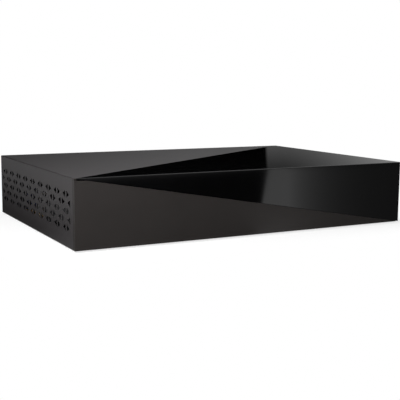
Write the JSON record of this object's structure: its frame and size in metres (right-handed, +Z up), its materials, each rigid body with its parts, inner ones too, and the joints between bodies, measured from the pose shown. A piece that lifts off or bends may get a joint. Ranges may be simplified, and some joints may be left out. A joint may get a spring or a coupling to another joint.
{
  "type": "digital video recorder",
  "caption": "Low, wide video recorder case with a folded gloss facet across its top and front, triangle side vents, rear sockets, cooling fan and hard disk drive.",
  "frame": {"origin": "on the table under the middle of the whole object, rear jacks included", "axes": "+X to the right as seen from the front, +Y to the rear, +Z up"},
  "size_m": [0.4, 0.2746, 0.072],
  "materials": {
    "cover_paint": "satin dark grey powder coat",
    "front_matte": "fine matte texture",
    "front_gloss": "polished black, see-through only to infrared",
    "bare_steel": "zinc plated sheet",
    "panel_paint": "satin black",
    "foot_rubber": "matte",
    "grommet_rubber": "matte",
    "black_screw": "black oxide",
    "zinc_screw": "bright zinc",
    "board_green": "solder mask",
    "board_tan": "paper laminate",
    "chip_black": "moulded",
    "fin_aluminium": "extruded",
    "tinplate": "tinned",
    "jack_nickel": "nickel plated",
    "jack_core": "moulded",
    "socket_black": "moulded",
    "shutter_grey": "moulded",
    "collar_red": "moulded",
    "collar_green": "moulded",
    "collar_blue": "moulded",
    "collar_white": "moulded",
    "collar_yellow": "moulded",
    "capacitor_sleeve": "shrunk sleeve",
    "transformer_core": "ferrite and tape",
    "lamp_clear": "clear",
    "drive_casting": "cast",
    "drive_cover_steel": "satin",
    "disk_mirror": "polished",
    "hub_aluminium": "turned",
    "coil_copper": "enamelled winding",
    "magnet_nickel": "nickel plated",
    "cable_grey": "flat cable",
    "cable_red": "sleeve",
    "cable_cream": "sleeve",
    "lead_brown": "sleeve"
  },
  "bodies": {
    "housing": {"top_cover": "cover_paint", "front_bezel": "front_matte", "gloss_fascia": "front_gloss", "base_pan": "bare_steel", "drive_bracket": "bare_steel", "board_standoffs": "bare_steel", "rear_panel": "panel_paint", "rubber_feet": "foot_rubber", "drive_grommets": "grommet_rubber", "rear_screws": "black_screw", "chassis_screws": "zinc_screw", "lid_screws": "zinc_screw", "main_board": "board_green", "front_board": "board_green", "drive_board": "board_green", "psu_board": "board_tan", "main_chips": "chip_black", "ir_receiver": "chip_black", "processor_heatsink": "fin_aluminium", "psu_heatsinks": "fin_aluminium", "tuner_can": "tinplate", "hdmi_socket": "tinplate", "usb_sockets": "tinplate", "ethernet_jack": "tinplate", "coax_jacks": "jack_nickel", "rca_shells": "jack_nickel", "inlet_pins": "jack_nickel", "jack_insulators": "jack_core", "rca_housing": "socket_black", "socket_tongues": "socket_black", "optical_socket": "socket_black", "power_inlet": "socket_black", "switch_housing": "socket_black", "reset_switch": "socket_black", "fan_frame": "socket_black", "rca_collars_red": "collar_red", "rca_collar_green": "collar_green", "rca_collar_blue": "collar_blue", "rca_collar_white": "collar_white", "rca_collar_yellow": "collar_yellow", "board_capacitors": "capacitor_sleeve", "psu_capacitors": "capacitor_sleeve", "psu_transformer": "transformer_core", "status_leds": "lamp_clear", "light_guide": "lamp_clear", "drive_base": "drive_casting", "drive_lid": "drive_cover_steel", "drive_magnets": "magnet_nickel", "front_ribbon": "cable_grey", "drive_cable": "cable_red", "power_harness": "cable_cream", "mains_leads": "lead_brown"},
    "fan": {"fan_rotor": "socket_black"},
    "disk_pack": {"drive_disks": "disk_mirror", "drive_hub": "hub_aluminium"},
    "head_arm": {"drive_arm": "hub_aluminium", "drive_coil": "coil_copper"},
    "power_rocker": {"switch_rocker": "socket_black"},
    "reset_plunger": {"reset_button": "shutter_grey"},
    "optical_flap": {"optical_shutter": "shutter_grey"}
  },
  "joints": [
    {"name": "fan_spin", "type": "hinge", "parent": "housing", "child": "fan", "pos_m": [-0.058, 0.11685, 0.034], "axis": [0, 1, 0], "continuous": true},
    {"name": "disk_spin", "type": "hinge", "parent": "housing", "child": "disk_pack", "pos_m": [-0.1363, -0.0572, 0.0152], "axis": [0, 0, 1], "continuous": true},
    {"name": "head_swing", "type": "hinge", "parent": "housing", "child": "head_arm", "pos_m": [-0.0803, -0.0492, 0.0152], "axis": [0, 0, 1], "range_deg": [-36, 0]},
    {"name": "rocker_tilt", "type": "hinge", "parent": "housing", "child": "power_rocker", "pos_m": [-0.124, 0.12275, 0.035], "axis": [-1, 0, 0], "range_deg": [0, 16]},
    {"name": "reset_press", "type": "slide", "parent": "housing", "child": "reset_plunger", "axis": [0, -1, 0], "range_m": [0, 0.001], "stiffness_N_per_m": 300, "springref_m": -0.0005},
    {"name": "flap_swing", "type": "hinge", "parent": "housing", "child": "optical_flap", "pos_m": [0.05, 0.12525, 0.0205], "axis": [-1, 0, 0], "range_deg": [0, 80], "stiffness_Nm_per_rad": 0.0005, "springref_deg": -17.19}
  ]
}
